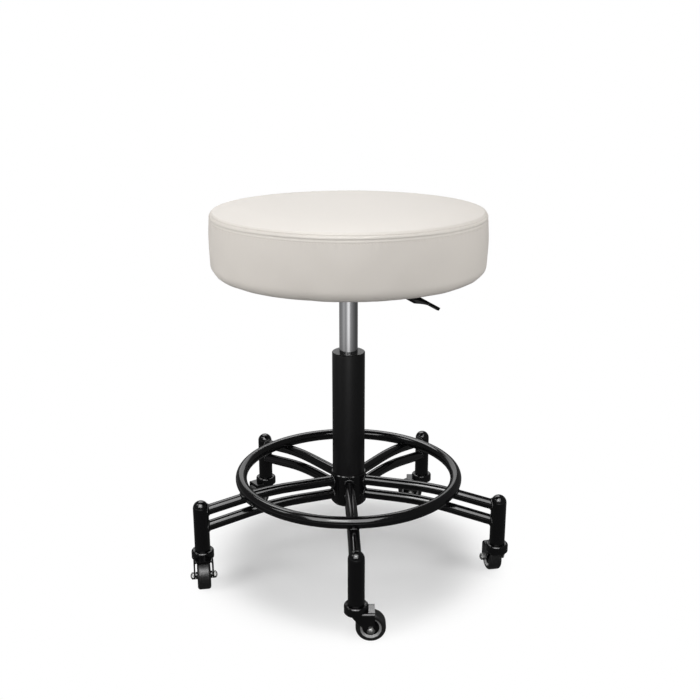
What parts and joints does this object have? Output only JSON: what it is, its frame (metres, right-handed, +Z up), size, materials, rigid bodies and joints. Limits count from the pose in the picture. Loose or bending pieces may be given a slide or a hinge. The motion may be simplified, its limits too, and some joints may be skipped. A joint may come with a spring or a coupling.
{
  "type": "rolling salon stool",
  "caption": "Round padded stool on a gas lift column, with a lever, a tubular legged base, a foot ring and swivel casters.",
  "frame": {"origin": "on the floor under the column's axis", "axes": "+Z up along the column, +X to the right and +Y away from a viewer at the front of the picture"},
  "size_m": [0.4838, 0.4743, 0.5621],
  "materials": {
    "black_paint": "gloss",
    "chrome": "polished",
    "bright_steel": "satin",
    "black_plastic": "satin",
    "tyre_rubber": "matte",
    "cream_vinyl": "satin",
    "foam": "matte",
    "plywood": "matte",
    "dust_cloth": "matte"
  },
  "bodies": {
    "base": {"hub_sleeve": "black_paint", "upper_arms": "black_paint", "lower_arms": "black_paint", "foot_ring": "black_paint", "leg_post_front": "black_paint", "leg_post_right": "black_paint", "leg_post_back_right": "black_paint", "leg_post_back_left": "black_paint", "leg_post_left": "black_paint", "post_caps": "black_paint", "stem_plugs": "bright_steel", "caster_stems": "bright_steel", "column_tube": "black_paint", "guide_bush": "black_plastic", "bearing_lower_race": "bright_steel", "bearing_balls": "bright_steel"},
    "gas_rod": {"piston_rod": "bright_steel", "piston_head": "black_plastic", "retaining_clip": "bright_steel", "bearing_upper_race": "bright_steel"},
    "seat": {"gas_cylinder": "chrome", "cylinder_gland": "black_plastic", "taper_socket": "black_paint", "mounting_plate": "black_paint", "lever_pin": "bright_steel", "seat_bolts": "bright_steel", "tee_nuts": "bright_steel", "seat_board": "plywood", "seat_foam": "foam", "seat_cover_top": "cream_vinyl", "seat_cover_side": "cream_vinyl", "dust_cover": "dust_cloth"},
    "lever": {"lever_arm": "bright_steel", "lever_grip": "black_plastic"},
    "button": {"release_button": "bright_steel"},
    "caster_front": {"caster_fork_front": "black_paint", "swivel_cup_front": "black_paint", "wheel_axle_front": "bright_steel"},
    "wheel_front": {"tyre_front": "tyre_rubber", "wheel_core_front": "black_plastic"},
    "caster_right": {"caster_fork_right": "black_paint", "swivel_cup_right": "black_paint", "wheel_axle_right": "bright_steel"},
    "wheel_right": {"tyre_right": "tyre_rubber", "wheel_core_right": "black_plastic"},
    "caster_back_right": {"caster_fork_back_right": "black_paint", "swivel_cup_back_right": "black_paint", "wheel_axle_back_right": "bright_steel"},
    "wheel_back_right": {"tyre_back_right": "tyre_rubber", "wheel_core_back_right": "black_plastic"},
    "caster_back_left": {"caster_fork_back_left": "black_paint", "swivel_cup_back_left": "black_paint", "wheel_axle_back_left": "bright_steel"},
    "wheel_back_left": {"tyre_back_left": "tyre_rubber", "wheel_core_back_left": "black_plastic"},
    "caster_left": {"caster_fork_left": "black_paint", "swivel_cup_left": "black_paint", "wheel_axle_left": "bright_steel"},
    "wheel_left": {"tyre_left": "tyre_rubber", "wheel_core_left": "black_plastic"}
  },
  "joints": [
    {"name": "seat_swivel", "type": "hinge", "parent": "base", "child": "gas_rod", "pos_m": [0, 0, 0.1], "axis": [0, 0, 1], "continuous": true},
    {"name": "seat_height", "type": "slide", "parent": "gas_rod", "child": "seat", "axis": [0, 0, 1], "range_m": [-0.075, 0.065]},
    {"name": "lever_lift", "type": "hinge", "parent": "seat", "child": "lever", "pos_m": [0.02511, -0.00673, 0.46], "axis": [-0.2588, -0.9659, 0], "range_deg": [0, 10], "stiffness_Nm_per_rad": 0.6},
    {"name": "button_press", "type": "slide", "parent": "seat", "child": "button", "axis": [0, 0, -1], "range_m": [0, 0.0047]},
    {"name": "caster_swivel_front", "type": "hinge", "parent": "base", "child": "caster_front", "pos_m": [0.01032, -0.23647, 0.05], "axis": [0, 0, 1], "continuous": true},
    {"name": "wheel_spin_front", "type": "hinge", "parent": "caster_front", "child": "wheel_front", "pos_m": [0.03032, -0.23647, 0.021], "axis": [0, 1, 0], "continuous": true},
    {"name": "caster_swivel_right", "type": "hinge", "parent": "base", "child": "caster_right", "pos_m": [0.22809, -0.06326, 0.05], "axis": [0, 0, 1], "continuous": true},
    {"name": "wheel_spin_right", "type": "hinge", "parent": "caster_right", "child": "wheel_right", "pos_m": [0.22462, -0.04356, 0.021], "axis": [-0.9848, -0.1736, 0], "continuous": true},
    {"name": "caster_swivel_back_right", "type": "hinge", "parent": "base", "child": "caster_back_right", "pos_m": [0.13064, 0.19738, 0.05], "axis": [0, 0, 1], "continuous": true},
    {"name": "wheel_spin_back_right", "type": "hinge", "parent": "caster_back_right", "child": "wheel_back_right", "pos_m": [0.11064, 0.19738, 0.021], "axis": [0, -1, 0], "continuous": true},
    {"name": "caster_swivel_back_left", "type": "hinge", "parent": "base", "child": "caster_back_left", "pos_m": [-0.14735, 0.18524, 0.05], "axis": [0, 0, 1], "continuous": true},
    {"name": "wheel_spin_back_left", "type": "hinge", "parent": "caster_back_left", "child": "wheel_back_left", "pos_m": [-0.16332, 0.17321, 0.021], "axis": [0.6018, -0.7986, 0], "continuous": true},
    {"name": "caster_swivel_left", "type": "hinge", "parent": "base", "child": "caster_left", "pos_m": [-0.22171, -0.08289, 0.05], "axis": [0, 0, 1], "continuous": true},
    {"name": "wheel_spin_left", "type": "hinge", "parent": "caster_left", "child": "wheel_left", "pos_m": [-0.21824, -0.10259, 0.021], "axis": [0.9848, 0.1736, 0], "continuous": true}
  ],
  "couplings": [
    {"joint": "button_press", "follows": "lever_lift", "m_per_rad": 0.026}
  ]
}
